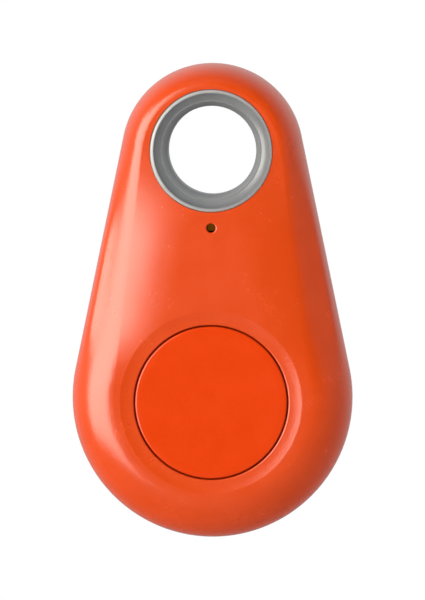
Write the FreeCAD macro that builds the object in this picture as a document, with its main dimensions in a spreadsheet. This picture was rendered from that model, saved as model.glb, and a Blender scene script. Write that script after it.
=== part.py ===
import FreeCAD, Part
import math
import os
import re

import Sketcher
from FreeCAD import Placement, Rotation, Vector

# A key finder tag: a pebble of two moulded shells that part on the plane Y = 0, with a grey
# eyelet in the crown and a round push button in the belly. It hangs by the eyelet, so +Z is up,
# the front faces -Y and the origin is the middle of the eyelet's bore. A level is a distance
# forward of the parting plane, so a piece in the back half has a negative level.

SIZES = {
    # outline: a small crown arc and a large belly arc, joined by the lines that touch both, each
    # with a flat land between its round edge and the eyelet or the dish
    "arc_spacing": 26.9,
    "crown_land": 0.3,
    "belly_land": 0.36,
    "eyelet_rise": 0.45,
    "button_drop": 0.4,
    # shells: depth to each flat face, how far the round edge reaches in, and the walls
    "front_depth": 5.2,
    "back_depth": 4.8,
    "crown_edge": 2.5,
    "belly_edge": 4.7,
    "side_wall": 1.4,
    "face_wall": 1.2,
    "parting_gap": 0.1,
    "tongue_thick": 0.7,
    "tongue_rise": 0.9,
    "tongue_root": 1.2,
    "tongue_gap": 0.2,
    "pry_wide": 7.0,
    "pry_deep": 0.9,
    "pry_high": 0.8,
    # eyelet rings
    "eyelet_bore": 4.9,
    "eyelet_wall": 1.05,
    "eyelet_ledge": 0.83,
    "eyelet_throat": 2.2,
    "eyelet_flange": 1.0,
    "eyelet_funnel": 0.5,
    "eyelet_step": 0.12,
    "eyelet_lip": 0.42,
    "eyelet_flare": 0.12,
    "eyelet_roll": 0.1,
    "eyelet_proud": 0.16,
    "eyelet_sunk": 0.06,
    "boss_wall": 1.1,
    "seat_gap": 0.02,
    # button
    "button_radius": 8.38,
    "button_gap": 0.16,
    "button_wall": 1.0,
    "button_hollow": 0.12,
    "button_round": 0.2,
    "button_skirt": 1.1,
    "button_flange": 0.8,
    "flange_thick": 0.5,
    "flange_gap": 0.08,
    "stem_radius": 1.2,
    "stem_gap": 0.04,
    "button_travel": 0.25,
    "dish_wide": 1.5,
    "dish_deep": 0.16,
    "dish_crest": 0.6,
    "rim_round": 0.15,
    # light and sound hole, just under the eyelet
    "light_gap": 1.73,
    "light_radius": 0.5,
    # board and what holds it
    "board_level": 0.3,
    "board_thick": 0.8,
    "board_gap": 0.3,
    "board_horn": 5.0,
    "screw_aside": 3.75,
    "screw_above": 0.5,
    "screw_radius": 0.5,
    "screw_head": 0.95,
    "screw_head_thick": 0.45,
    "screw_reach": 2.6,
    "thread_gap": 0.02,
    "post_wall": 1.1,
    "prop_radius": 0.8,
    "prop_rise": 2.4,
    "prop_inset": 2.7,
    "prop_angle": 35.0,
    # push switch under the button
    "switch_side": 4.6,
    "switch_base_thick": 1.0,
    "switch_plate": 0.15,
    "switch_well": 1.9,
    "switch_floor": 0.3,
    "dome_radius": 1.75,
    "dome_rise": 0.2,
    "dome_thick": 0.06,
    "plunger_radius": 0.9,
    "plunger_rise": 0.45,
    "plunger_foot": 0.5,
    "plunger_foot_thick": 0.1,
    "slide_gap": 0.05,
    "leg_long": 0.8,
    "leg_wide": 0.6,
    "leg_thick": 0.15,
    # sounder in the neck
    "sounder_side": 8.5,
    "sounder_thick": 1.9,
    "sounder_lid": 0.2,
    "sounder_floor": 0.3,
    "sounder_well": 3.9,
    "sounder_gap": 0.75,
    "sounder_port": 0.8,
    "diaphragm_thick": 0.08,
    "diaphragm_gap": 0.12,
    "magnet_wide": 0.8,
    "magnet_thick": 0.9,
    "coil_radius": 2.4,
    "coil_bore": 1.0,
    "coil_thick": 1.0,
    "core_radius": 0.9,
    # coin cell: the standard size, 20 mm across and 3.2 mm thick
    "cell_radius": 10.0,
    "cell_thick": 3.2,
    "cell_level": 0.2,
    "cell_room": 0.3,
    "cell_wall": 0.25,
    "cell_seal": 0.4,
    "cell_cap_radius": 8.9,
    "cell_cap_step": 0.25,
    "cell_round": 0.3,
    "holder_gap": 0.15,
    "holder_wall": 0.85,
    "holder_rise": 2.2,
    "holder_floor": 0.25,
    "holder_shelf": 2.6,
    "finger_wide": 7.0,
    "finger_deep": 1.3,
    "contact_thick": 0.15,
    "contact_wide": 4.0,
    "contact_gap": 0.06,
    "contact_foot": 1.9,
    "contact_rise": 2.3,
    "leaf_wide": 3.0,
    "leaf_base": 2.0,
    "leaf_reach": 6.0,
    "leaf_gap": 0.02,
    "pad_radius": 6.0,
    "pad_thick": 0.15,
    # chips on the board
    "radio_side": 5.0,
    "radio_thick": 0.85,
    "radio_across": -5.6,
    "radio_above": 3.4,
    "solder_thick": 0.05,
    "crystal_wide": 2.5,
    "crystal_tall": 3.2,
    "crystal_thick": 0.7,
    "crystal_across": -5.6,
    "crystal_below": 2.4,
    "watch_wide": 1.5,
    "watch_tall": 3.2,
    "watch_across": 4.6,
    "watch_above": 3.6,
    "capacitor_across": 0.6,
    "capacitor_above": 6.4,
    "resistor_across": 4.6,
    "resistor_below": 2.4,
    "chip_long": 1.0,
    "chip_wide": 0.5,
    "chip_thick": 0.5,
    "chip_pitch": 1.3,
    "light_wide": 1.6,
    "light_tall": 0.8,
    "light_thick": 0.3,
    "lens_wide": 0.9,
    "lens_thick": 0.3,
    "track_wide": 0.4,
    "track_thick": 0.05,
    "track_pitch": 0.9,
    "track_span": 2.2,
    "track_across": -7.2,
    "track_below": 6.6,
}

# heights and places that follow from the sizes
BUTTON_Z = "(-(eyelet_rise + arc_spacing + button_drop))"
FRONT_INSIDE = "(front_depth - face_wall)"
BACK_INSIDE = "(back_depth - face_wall)"
BOARD_FRONT = "(board_level + board_thick)"
SLEEVE_RADIUS = "(eyelet_bore + eyelet_wall)"
FLANGE_RADIUS = "(eyelet_bore + eyelet_wall + eyelet_ledge)"
BOSS_RADIUS = "(eyelet_bore + eyelet_wall + seat_gap + boss_wall)"
LIGHT_Z = "(-(eyelet_bore + eyelet_wall + eyelet_ledge + light_gap))"
HOLE_RADIUS = "(button_radius + button_gap)"
CROWN_RADIUS = f"({FLANGE_RADIUS} + seat_gap + crown_land + crown_edge + eyelet_rise)"
DISH_REACH = f"({HOLE_RADIUS} + dish_wide + belly_land)"
BELLY_RADIUS = f"(max({DISH_REACH}; cell_radius + cell_room) + belly_edge + button_drop)"
BELLY_Z = "(-(eyelet_rise + arc_spacing))"
BUTTON_TOP = "(front_depth - dish_deep)"
TONGUE_IN = "(side_wall + tongue_gap)"
BOARD_IN = "(side_wall + tongue_gap + tongue_thick + board_gap)"
SWITCH_TOP = "(board_level + board_thick + switch_base_thick)"
PLUNGER_TOP = "(board_level + board_thick + switch_base_thick + switch_plate + plunger_rise)"
SOUNDER_Z = f"({LIGHT_Z} - light_tall / 2 - sounder_gap - sounder_side / 2)"
SCREW_X = "(sounder_side / 2 + screw_aside)"
SCREW_Z = f"({SOUNDER_Z} + screw_above)"
SOUNDER_TOP = "(board_level + board_thick + sounder_thick)"
EDGE_ARC = 1 - math.sqrt(0.5)
LOFT_STEPS = 6
ANTENNA_FOLDS = 5

doc = FreeCAD.newDocument("tracker_tag")
sheet = doc.addObject("Spreadsheet::Sheet", "Sizes")
for row, (alias, number) in enumerate(SIZES.items(), start=1):
    sheet.set(f"A{row}", alias)
    sheet.set(f"B{row}", str(number))
    sheet.setAlias(f"B{row}", alias)
doc.recompute()

ALIASES = re.compile(r"\b(" + "|".join(SIZES) + r")\b")
pieces = []


def formula(text):
    """Point each size's name at its cell."""
    return ALIASES.sub(r"Sizes.\1", text)


def size(text):
    """Work a formula out now, to start a sketch near its final shape."""
    return float(sheet.evalExpression(formula(text)))


def bind(thing, name, text):
    """Drive a property by the sheet."""
    thing.setExpression(name, formula(text))


def sub_part(kind, name):
    """Start a piece that is written to its own file."""
    piece = doc.addObject(kind, name)
    piece.Label = name
    pieces.append(piece)
    return piece


def new_sketch(body, name, view, offset):
    """Sketch on one of the body's own planes.

    front: across and up, the offset is a level. lathe: radius and level, the offset is a height.
    side: up and level, the offset runs across."""
    role, turn = {
        "front": ("XZ_Plane", Rotation()),
        "lathe": ("XY_Plane", Rotation(Vector(1, 0, 0), 180)),
        "side": ("YZ_Plane", Rotation(Vector(0, 0, 1), 90)),
    }[view]
    sketch = body.newObject("Sketcher::SketchObject", name)
    sketch.AttachmentSupport = [
        (plane, "") for plane in body.Origin.OriginFeatures if plane.Role == role
    ]
    sketch.MapMode = "FlatFace"
    sketch.AttachmentOffset = Placement(Vector(), turn)
    bind(sketch, "AttachmentOffset.Base.z", offset)
    return sketch


def hold(sketch, constraint, text):
    """Add a dimension that the sheet drives."""
    index = sketch.addConstraint(constraint)
    sketch.setExpression(f"Constraints[{index}]", formula(text))


def contour(sketch, corners):
    """Draw a closed outline; a corner's third item is the sag of the arc that ends there."""
    spots = [Vector(size(corner[0]), size(corner[1]), 0) for corner in corners]
    edges = []
    for number, corner in enumerate(corners):
        start, end = spots[number - 1], spots[number]
        if len(corner) == 2:
            edges.append((sketch.addGeometry(Part.LineSegment(start, end)), 1, 2))
            continue
        sag = size(corner[2])
        chord = end - start
        radius = chord.Length ** 2 / (8 * abs(sag)) + abs(sag) / 2
        left = Vector(-chord.y, chord.x, 0).normalize()
        centre = (start + end) * 0.5 + left * (sag - math.copysign(radius, sag))
        first, last = (end, start) if sag > 0 else (start, end)
        begin = math.atan2(first.y - centre.y, first.x - centre.x)
        finish = math.atan2(last.y - centre.y, last.x - centre.x)
        circle = Part.Circle(centre, Vector(0, 0, 1), radius)
        arc = Part.ArcOfCircle(circle, begin, finish if finish > begin else finish + 2 * math.pi)
        edges.append((sketch.addGeometry(arc), 2 if sag > 0 else 1, 1 if sag > 0 else 2))
    for number, corner in enumerate(corners):
        edge, _, tip = edges[number]
        following, tail, _ = edges[(number + 1) % len(edges)]
        sketch.addConstraint(Sketcher.Constraint("Coincident", edge, tip, following, tail))
        spot = spots[number]
        hold(sketch, Sketcher.Constraint("DistanceX", edge, tip, spot.x), corner[0])
        hold(sketch, Sketcher.Constraint("DistanceY", edge, tip, spot.y), corner[1])
        if len(corner) == 3:
            before = corners[number - 1]
            reach = f"((({corner[0]}) - ({before[0]}))^2 + (({corner[1]}) - ({before[1]}))^2)"
            bend = f"{reach} / (8 * abs({corner[2]})) + abs({corner[2]}) / 2"
            hold(sketch, Sketcher.Constraint("Radius", edge, size(bend)), bend)


def ring(sketch, across, up, radius):
    """Draw a circle."""
    centre = Vector(size(across), size(up), 0)
    circle = sketch.addGeometry(Part.Circle(centre, Vector(0, 0, 1), size(radius)))
    hold(sketch, Sketcher.Constraint("DistanceX", circle, 3, centre.x), across)
    hold(sketch, Sketcher.Constraint("DistanceY", circle, 3, centre.y), up)
    hold(sketch, Sketcher.Constraint("Radius", circle, size(radius)), radius)


def window(sketch, across, up, wide, tall):
    """Draw a rectangle about its middle."""
    left, right = f"({across}) - ({wide}) / 2", f"({across}) + ({wide}) / 2"
    low, high = f"({up}) - ({tall}) / 2", f"({up}) + ({tall}) / 2"
    contour(sketch, [(left, low), (right, low), (right, high), (left, high)])


def teardrop(sketch, crown_inset, belly_inset):
    """Draw the tag's outline, drawn in by an inset at each arc."""
    crown, belly = size(f"{CROWN_RADIUS} - ({crown_inset})"), size(f"{BELLY_RADIUS} - ({belly_inset})")
    top, drop = size("eyelet_rise"), size("arc_spacing")
    lean = math.asin((belly - crown) / drop)
    high, low = Vector(0, -top, 0), Vector(0, -top - drop, 0)
    out = Vector(math.cos(lean), math.sin(lean), 0)
    mirror = Vector(-out.x, out.y, 0)
    axis = Vector(0, 0, 1)
    crown_arc = Part.ArcOfCircle(Part.Circle(high, axis, crown), lean, math.pi - lean)
    belly_arc = Part.ArcOfCircle(Part.Circle(low, axis, belly), math.pi - lean, 2 * math.pi + lean)
    upper = sketch.addGeometry(crown_arc)
    left = sketch.addGeometry(Part.LineSegment(high + mirror * crown, low + mirror * belly))
    lower = sketch.addGeometry(belly_arc)
    right = sketch.addGeometry(Part.LineSegment(low + out * belly, high + out * crown))
    for edge, following in ((upper, left), (left, lower), (lower, right), (right, upper)):
        sketch.addConstraint(Sketcher.Constraint("Tangent", edge, 2, following, 1))
    for arc in (upper, lower):
        sketch.addConstraint(Sketcher.Constraint("PointOnObject", arc, 3, -2))
    hold(sketch, Sketcher.Constraint("DistanceY", upper, 3, -top), "-eyelet_rise")
    hold(sketch, Sketcher.Constraint("DistanceY", lower, 3, -top - drop), BELLY_Z)
    hold(sketch, Sketcher.Constraint("Radius", upper, crown), f"{CROWN_RADIUS} - ({crown_inset})")
    hold(sketch, Sketcher.Constraint("Radius", lower, belly), f"{BELLY_RADIUS} - ({belly_inset})")


def pebble(body, kind, name, side, depth):
    """Loft from the parting plane to a flat face, along a quarter ellipse."""
    sketches = []
    for step in range(LOFT_STEPS):
        angle = 90 * step / (LOFT_STEPS - 1)
        sketch = new_sketch(body, f"{name}_{step}", "front", f"({depth}) * sin({angle})")
        crown = f"({side}) + (crown_edge - ({side})) * (1 - cos({angle}))"
        belly = f"({side}) + (belly_edge - ({side})) * (1 - cos({angle}))"
        teardrop(sketch, crown, belly)
        sketches.append(sketch)
    loft = body.newObject(kind, name)
    loft.Profile = sketches[0]
    loft.Sections = sketches[1:]
    doc.recompute()


def pad(body, sketch, length):
    """Raise a sketch along its normal: forward from a front sketch."""
    feature = body.newObject("PartDesign::Pad", f"{sketch.Name}_pad")
    feature.Profile = sketch
    bind(feature, "Length", length)
    doc.recompute()
    return feature


def cut(body, sketch, length):
    """Sink a sketch against its normal, and make sure that it cuts."""
    before = body.Shape.Volume
    feature = body.newObject("PartDesign::Pocket", f"{sketch.Name}_cut")
    feature.Profile = sketch
    bind(feature, "Length", length)
    doc.recompute()
    if body.Shape.Volume >= before:
        raise RuntimeError(f"{feature.Name} cuts nothing")
    return feature


def dome_sag(rise, reach):
    """Sag of a dome's outline from its middle, where it is level, to its edge."""
    chord = f"(({rise})^2 + ({reach})^2)"
    return f"({chord} / (2 * ({rise})) * (1 - sqrt(1 - ({rise})^2 / {chord})))"


def rim_names(shape, radius, level):
    """Find the round edges of one radius at one level."""
    found = []
    for number, edge in enumerate(shape.Edges, start=1):
        if not isinstance(edge.Curve, Part.Circle):
            continue
        same_size = math.isclose(edge.Curve.Radius, size(radius), abs_tol=1e-4)
        if same_size and math.isclose(-edge.Curve.Center.y, size(level), abs_tol=1e-4):
            found.append(f"Edge{number}")
    return found


def soften(body, name, rims, radius):
    """Round the named rims of the body so far."""
    base = body.Tip
    names = [edge for rim in rims for edge in rim_names(base.Shape, *rim)]
    feature = body.newObject("PartDesign::Fillet", name)
    feature.Base = (base, names)
    bind(feature, "Radius", radius)
    doc.recompute()


def turned(name, height, corners):
    """Turn a piece about an axis along Y; its corners are radius and level."""
    body = sub_part("PartDesign::Body", name)
    sketch = new_sketch(body, f"{name}_section", "lathe", height)
    contour(sketch, corners)
    feature = body.newObject("PartDesign::Revolution", f"{name}_turn")
    feature.Profile = sketch
    feature.ReferenceAxis = (sketch, ["V_Axis"])
    doc.recompute()
    return body


def washer(name, height, level, thick, inner, outer):
    """Turn a flat ring."""
    low, high = level, f"({level}) + ({thick})"
    return turned(name, height, [(inner, low), (outer, low), (outer, high), (inner, high)])


def block(name, across, up, level, wide, tall, thick):
    """Stand a box forward of a level, about its middle."""
    box = doc.addObject("Part::Box", name)
    bind(box, "Length", wide)
    bind(box, "Width", thick)
    bind(box, "Height", tall)
    bind(box, "Placement.Base.x", f"({across}) - ({wide}) / 2")
    bind(box, "Placement.Base.y", f"-({level}) - ({thick})")
    bind(box, "Placement.Base.z", f"({up}) - ({tall}) / 2")
    return box


def rod(name, across, up, level, radius, length):
    """Stand a cylinder forward of a level."""
    cylinder = doc.addObject("Part::Cylinder", name)
    cylinder.Placement = Placement(Vector(), Rotation(Vector(1, 0, 0), 90))
    bind(cylinder, "Radius", radius)
    bind(cylinder, "Height", length)
    bind(cylinder, "Placement.Base.x", across)
    bind(cylinder, "Placement.Base.y", f"-({level})")
    bind(cylinder, "Placement.Base.z", up)
    return cylinder


def keep(piece):
    """Give a finished primitive its own file."""
    piece.Label = piece.Name
    pieces.append(piece)


def group(name, members):
    """Keep identical pieces together as separate solids."""
    compound = sub_part("Part::Compound", name)
    compound.Links = members


def eyelet_boss(body, name, level, length):
    """Stand the tube that carries an eyelet ring inside a shell."""
    sketch = new_sketch(body, f"{name}_boss", "front", level)
    ring(sketch, "0", "0", BOSS_RADIUS)
    pad(body, sketch, length)


def make_front_shell():
    """Moulded front half: button hole in its dish, light hole, eyelet seat and board posts."""
    body = sub_part("PartDesign::Body", "front_shell")
    pebble(body, "PartDesign::AdditiveLoft", "front_skin", "0", "front_depth")
    pebble(body, "PartDesign::SubtractiveLoft", "front_cavity", "side_wall", FRONT_INSIDE)
    eyelet_boss(body, "front", "parting_gap / 2", f"{FRONT_INSIDE} + face_wall / 2 - parting_gap / 2")
    prop_reach = f"({BELLY_RADIUS} - prop_inset)"
    to_wall = f"{FRONT_INSIDE} + face_wall / 3 - {BOARD_FRONT}"
    posts = new_sketch(body, "front_posts", "front", BOARD_FRONT)
    props = new_sketch(body, "front_props", "front", BOARD_FRONT)
    for side in ("", "-"):
        ring(posts, f"{side}{SCREW_X}", SCREW_Z, "screw_radius + post_wall")
        across, down = f"{side}{prop_reach} * sin(prop_angle)", f"{prop_reach} * cos(prop_angle)"
        ring(props, across, f"{BELLY_Z} - {down}", "prop_radius")
    pad(body, posts, to_wall)
    pad(body, props, "prop_rise")
    bores = new_sketch(body, "front_bores", "front", f"{BOARD_FRONT} + screw_reach")
    for side in ("", "-"):
        ring(bores, f"{side}{SCREW_X}", SCREW_Z, "screw_radius + thread_gap")
    cut(body, bores, "screw_reach")
    seat = new_sketch(body, "front_seat", "front", "front_depth")
    ring(seat, "0", "0", f"{FLANGE_RADIUS} + seat_gap")
    cut(body, seat, "eyelet_flange - eyelet_proud")
    sleeve = new_sketch(body, "front_sleeve", "front", "front_depth")
    ring(sleeve, "0", "0", f"{SLEEVE_RADIUS} + seat_gap")
    cut(body, sleeve, "front_depth")
    light = new_sketch(body, "front_light", "front", "front_depth")
    ring(light, "0", LIGHT_Z, "light_radius")
    cut(body, light, "face_wall")
    dish = new_sketch(body, "front_dish", "lathe", BUTTON_Z)
    sag = "-dish_deep / 4"
    contour(dish, [
        (f"{HOLE_RADIUS} - button_gap", f"{FRONT_INSIDE} - face_wall / 2"),
        (HOLE_RADIUS, f"{FRONT_INSIDE} - face_wall / 2"),
        (HOLE_RADIUS, BUTTON_TOP),
        (f"{HOLE_RADIUS} + dish_wide", "front_depth", sag),
        (f"{HOLE_RADIUS} + dish_wide", "front_depth + face_wall"),
        (f"{HOLE_RADIUS} - button_gap", "front_depth + face_wall"),
    ])
    groove = body.newObject("PartDesign::Groove", "front_dish_cut")
    groove.Profile = dish
    groove.ReferenceAxis = (dish, ["V_Axis"])
    doc.recompute()
    opening = new_sketch(body, "front_opening", "front", "front_depth")
    ring(opening, "0", BUTTON_Z, f"{HOLE_RADIUS} - button_gap / 2")
    cut(body, opening, "face_wall + face_wall / 2")
    soften(body, "front_crest", [(f"{HOLE_RADIUS} + dish_wide", "front_depth")], "dish_crest")
    rims = [(HOLE_RADIUS, BUTTON_TOP), ("light_radius", "front_depth")]
    soften(body, "front_rims", rims, "rim_round")


def make_back_shell():
    """Moulded back half: a flat back, and a tongue round its rim that grips the front shell."""
    body = sub_part("PartDesign::Body", "back_shell")
    pebble(body, "PartDesign::AdditiveLoft", "back_skin", "0", "-back_depth")
    pebble(body, "PartDesign::SubtractiveLoft", "back_cavity", "side_wall", f"-{BACK_INSIDE}")
    lug = f"{BACK_INSIDE} + face_wall / 2"
    eyelet_boss(body, "back", f"-({lug})", f"{lug} - parting_gap / 2")
    for name, level, rise, inset in (
        ("root", "-tongue_root", "tongue_root", "side_wall - tongue_gap"),
        ("tongue", "-tongue_root", "tongue_root + tongue_rise", TONGUE_IN),
    ):
        sketch = new_sketch(body, f"back_{name}", "front", level)
        teardrop(sketch, inset, inset)
        inner = f"{TONGUE_IN} + tongue_thick"
        teardrop(sketch, inner, inner)
        pad(body, sketch, rise)
    seat_deep = "(eyelet_flange + eyelet_sunk)"
    seat = new_sketch(body, "back_seat", "front", f"-back_depth + {seat_deep}")
    ring(seat, "0", "0", f"{FLANGE_RADIUS} + seat_gap")
    cut(body, seat, seat_deep)
    sleeve = new_sketch(body, "back_sleeve", "front", "0")
    ring(sleeve, "0", "0", f"{SLEEVE_RADIUS} + seat_gap")
    cut(body, sleeve, "back_depth")
    pry = new_sketch(body, "back_pry", "front", "0")
    window(pry, "0", f"{BELLY_Z} - {BELLY_RADIUS}", "pry_wide", "2 * pry_deep")
    cut(body, pry, "pry_high")


def make_eyelet(name, side, face):
    """Moulded grey ring: a throat, a flared neck, a hollow funnel and a rounded lip."""
    neck = f"({SLEEVE_RADIUS} - eyelet_funnel)"
    root = f"({face} - eyelet_flange)"
    corners = [
        (SLEEVE_RADIUS, "parting_gap / 2"),
        ("eyelet_bore", "parting_gap / 2"),
        ("eyelet_bore", "eyelet_throat"),
        (neck, f"{root} + eyelet_step", "-eyelet_flare"),
        (f"{neck} + eyelet_step", f"{root} + eyelet_step"),
        (f"{FLANGE_RADIUS} - eyelet_lip", f"{face} - eyelet_step / 2", "-eyelet_flare"),
        (FLANGE_RADIUS, f"{face} - eyelet_lip", "eyelet_roll"),
        (FLANGE_RADIUS, root),
        (SLEEVE_RADIUS, root),
    ]
    turned(name, "0", [
        (corner[0], f"{side}({corner[1]})", *(f"{side}({sag})" for sag in corner[2:]))
        for corner in corners
    ])


def make_button_cap():
    """Moulded cap with a faintly hollow face, a flange under the shell and a stem to the switch."""
    rounded = f"button_round * {EDGE_ARC}"
    under = f"({FRONT_INSIDE} - flange_gap)"
    hollow = dome_sag("button_hollow", "button_radius - button_round")
    turned("button_cap", BUTTON_Z, [
        ("0", f"{PLUNGER_TOP} + stem_gap"),
        ("stem_radius", f"{PLUNGER_TOP} + stem_gap"),
        ("stem_radius", f"{BUTTON_TOP} - button_wall"),
        ("button_radius - button_skirt", f"{BUTTON_TOP} - button_wall"),
        ("button_radius - button_skirt", f"{under} - flange_thick"),
        ("button_radius + button_flange", f"{under} - flange_thick"),
        ("button_radius + button_flange", under),
        ("button_radius", under),
        ("button_radius", f"{BUTTON_TOP} - button_round"),
        ("button_radius - button_round", BUTTON_TOP, f"-{rounded}"),
        ("0", f"{BUTTON_TOP} - button_hollow", hollow),
    ])


def make_board():
    """Circuit board that follows the outline, notched round the eyelet boss."""
    body = sub_part("PartDesign::Body", "main_board")
    outline = new_sketch(body, "board_outline", "front", "board_level")
    teardrop(outline, BOARD_IN, BOARD_IN)
    pad(body, outline, "board_thick")
    notch = new_sketch(body, "board_notch", "front", BOARD_FRONT)
    ring(notch, "0", "0", f"{BOSS_RADIUS} + board_gap")
    cut(body, notch, "board_thick")
    crown = new_sketch(body, "board_crown", "front", BOARD_FRONT)
    window(crown, "0", f"{CROWN_RADIUS} - board_horn", f"2 * {CROWN_RADIUS}", f"2 * {CROWN_RADIUS}")
    cut(body, crown, "board_thick")
    holes = new_sketch(body, "board_holes", "front", BOARD_FRONT)
    for side in ("", "-"):
        ring(holes, f"{side}{SCREW_X}", SCREW_Z, "screw_radius + slide_gap")
    cut(body, holes, "board_thick")


def make_antenna():
    """Printed antenna: a folded copper track on the board's left horn."""
    runs = []
    for fold in range(ANTENNA_FOLDS):
        up = f"-track_below - {fold} * track_pitch"
        runs.append(block(
            f"track_run_{fold + 1}", "track_across", up, BOARD_FRONT,
            "track_span", "track_wide", "track_thick"))
        if fold == 0:
            continue
        end = "-" if fold % 2 else "+"
        runs.append(block(
            f"track_turn_{fold}", f"track_across {end} (track_span - track_wide) / 2",
            f"{up} + track_pitch / 2", BOARD_FRONT, "track_wide", "track_pitch", "track_thick"))
    sub_part("Part::MultiFuse", "board_antenna").Shapes = runs


def make_chips():
    """Radio chip on its solder pads, two crystals, and rows of small capacitors and resistors."""
    radio_z = f"({BUTTON_Z} + radio_above)"
    solder = f"({BOARD_FRONT} + solder_thick)"
    keep(block("radio_chip", "radio_across", radio_z, solder, "radio_side", "radio_side", "radio_thick"))
    pads = []
    for across in ("+", "-"):
        for up in ("+", "-"):
            pads.append(block(
                f"radio_pad_{len(pads) + 1}", f"radio_across {across} radio_side / 4",
                f"{radio_z} {up} radio_side / 4", BOARD_FRONT,
                "radio_side / 3", "radio_side / 3", "solder_thick"))
    group("radio_pads", pads)
    keep(block(
        "radio_crystal", "crystal_across", f"{BUTTON_Z} - crystal_below", BOARD_FRONT,
        "crystal_tall", "crystal_wide", "crystal_thick"))
    keep(block(
        "watch_crystal", "watch_across", f"{BUTTON_Z} + watch_above", BOARD_FRONT,
        "watch_wide", "watch_tall", "crystal_thick"))
    for name, across, up, count in (
        ("chip_capacitors", "capacitor_across", f"{BUTTON_Z} + capacitor_above", 3),
        ("chip_resistors", "resistor_across", f"{BUTTON_Z} - resistor_below", 4),
    ):
        row = [
            block(
                f"{name}_{place + 1}", across, f"{up} + ({place} - {(count - 1) / 2}) * chip_pitch",
                BOARD_FRONT, "chip_long", "chip_wide", "chip_thick")
            for place in range(count)
        ]
        group(name, row)


def make_light():
    """Status light behind its hole: a white base and a clear lens."""
    keep(block("light_base", "0", LIGHT_Z, BOARD_FRONT, "light_wide", "light_tall", "light_thick"))
    keep(block(
        "light_lens", "0", LIGHT_Z, f"{BOARD_FRONT} + light_thick", "lens_wide", "light_tall", "lens_thick"))


def make_sounder():
    """Sounder: case, magnet, core and coil under a steel diaphragm, closed by a lid with a port."""
    case = sub_part("PartDesign::Body", "sounder_case")
    outline = new_sketch(case, "sounder_outline", "front", BOARD_FRONT)
    window(outline, "0", SOUNDER_Z, "sounder_side", "sounder_side")
    pad(case, outline, "sounder_thick")
    well = new_sketch(case, "sounder_well_round", "front", SOUNDER_TOP)
    ring(well, "0", SOUNDER_Z, "sounder_well")
    cut(case, well, "sounder_thick - sounder_floor")
    lid = sub_part("PartDesign::Body", "sounder_lid_plate")
    cover = new_sketch(lid, "sounder_cover", "front", SOUNDER_TOP)
    window(cover, "0", SOUNDER_Z, "sounder_side", "sounder_side")
    ring(cover, "0", SOUNDER_Z, "sounder_port")
    pad(lid, cover, "sounder_lid")
    floor = f"({BOARD_FRONT} + sounder_floor)"
    rim = "(sounder_well - slide_gap)"
    washer("sounder_magnet", SOUNDER_Z, floor, "magnet_thick", f"{rim} - magnet_wide", rim)
    washer("sounder_coil", SOUNDER_Z, floor, "coil_thick", "coil_bore", "coil_radius")
    keep(rod("sounder_core", "0", SOUNDER_Z, floor, "core_radius", "coil_thick"))
    skin = f"{SOUNDER_TOP} - diaphragm_gap - diaphragm_thick"
    keep(rod("sounder_diaphragm", "0", SOUNDER_Z, skin, rim, "diaphragm_thick"))


def make_screws():
    """Two small screws that hold the board to its posts from behind."""
    screws = []
    for number, side in enumerate(("", "-"), start=1):
        place = (f"{side}{SCREW_X}", SCREW_Z)
        head = rod(f"screw_head_{number}", *place, "board_level - screw_head_thick",
                   "screw_head", "screw_head_thick")
        shank = rod(f"screw_shank_{number}", *place, "board_level", "screw_radius",
                    "board_thick + screw_reach - thread_gap")
        screw = doc.addObject("Part::Fuse", f"screw_{number}")
        screw.Base, screw.Tool = head, shank
        screws.append(screw)
    group("board_screws", screws)


def make_cell():
    """Coin cell: a can whose rim folds over a seal ring, and the smaller cap inside it."""
    back = "(-cell_level - cell_thick)"
    front = "(-cell_level)"
    rim = f"({front} - cell_cap_step)"
    rounded = f"cell_round * {EDGE_ARC}"
    turned("cell_can", BUTTON_Z, [
        ("0", back),
        ("cell_radius - cell_round", back),
        ("cell_radius", f"{back} + cell_round", f"-{rounded}"),
        ("cell_radius", f"{rim} - cell_round"),
        ("cell_radius - cell_round", rim, f"-{rounded}"),
        ("cell_cap_radius + cell_seal", rim),
        ("cell_cap_radius + cell_seal", f"{rim} - cell_wall"),
        ("cell_radius - cell_wall", f"{rim} - cell_wall"),
        ("cell_radius - cell_wall", f"{back} + cell_wall"),
        ("0", f"{back} + cell_wall"),
    ])
    turned("cell_seal_ring", BUTTON_Z, [
        ("cell_cap_radius", f"{back} + cell_wall"),
        ("cell_radius - cell_wall", f"{back} + cell_wall"),
        ("cell_radius - cell_wall", f"{rim} - cell_wall"),
        ("cell_cap_radius + cell_seal", f"{rim} - cell_wall"),
        ("cell_cap_radius + cell_seal", rim),
        ("cell_cap_radius", rim),
    ])
    turned("cell_cap", BUTTON_Z, [
        ("0", f"{back} + cell_wall"),
        ("cell_cap_radius", f"{back} + cell_wall"),
        ("cell_cap_radius", f"{front} - cell_round"),
        ("cell_cap_radius - cell_round", front, f"-{rounded}"),
        ("0", front),
    ])


def make_cell_holder():
    """Open cup on the board's back: a ring with a shelf, a finger notch and a contact window."""
    inner = "(cell_radius + holder_gap)"
    outer = "(cell_radius + holder_gap + holder_wall)"
    low = "(board_level - holder_rise)"
    body = turned("cell_holder", BUTTON_Z, [
        (f"{inner} - holder_shelf", "board_level"),
        (outer, "board_level"),
        (outer, low),
        (inner, low),
        (inner, "board_level - holder_floor"),
        (f"{inner} - holder_shelf", "board_level - holder_floor"),
    ])
    finger = new_sketch(body, "holder_finger", "front", f"{low} + finger_deep")
    window(finger, "0", f"{BUTTON_Z} - {outer}", "finger_wide", "4 * holder_wall")
    cut(body, finger, "finger_deep")
    contact = new_sketch(body, "holder_contact", "front", "board_level")
    across = "contact_wide + 2 * slide_gap"
    window(contact, "0", f"{BUTTON_Z} + {outer}", across, "2 * holder_shelf + 4 * holder_wall")
    cut(body, contact, "holder_rise")


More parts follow.
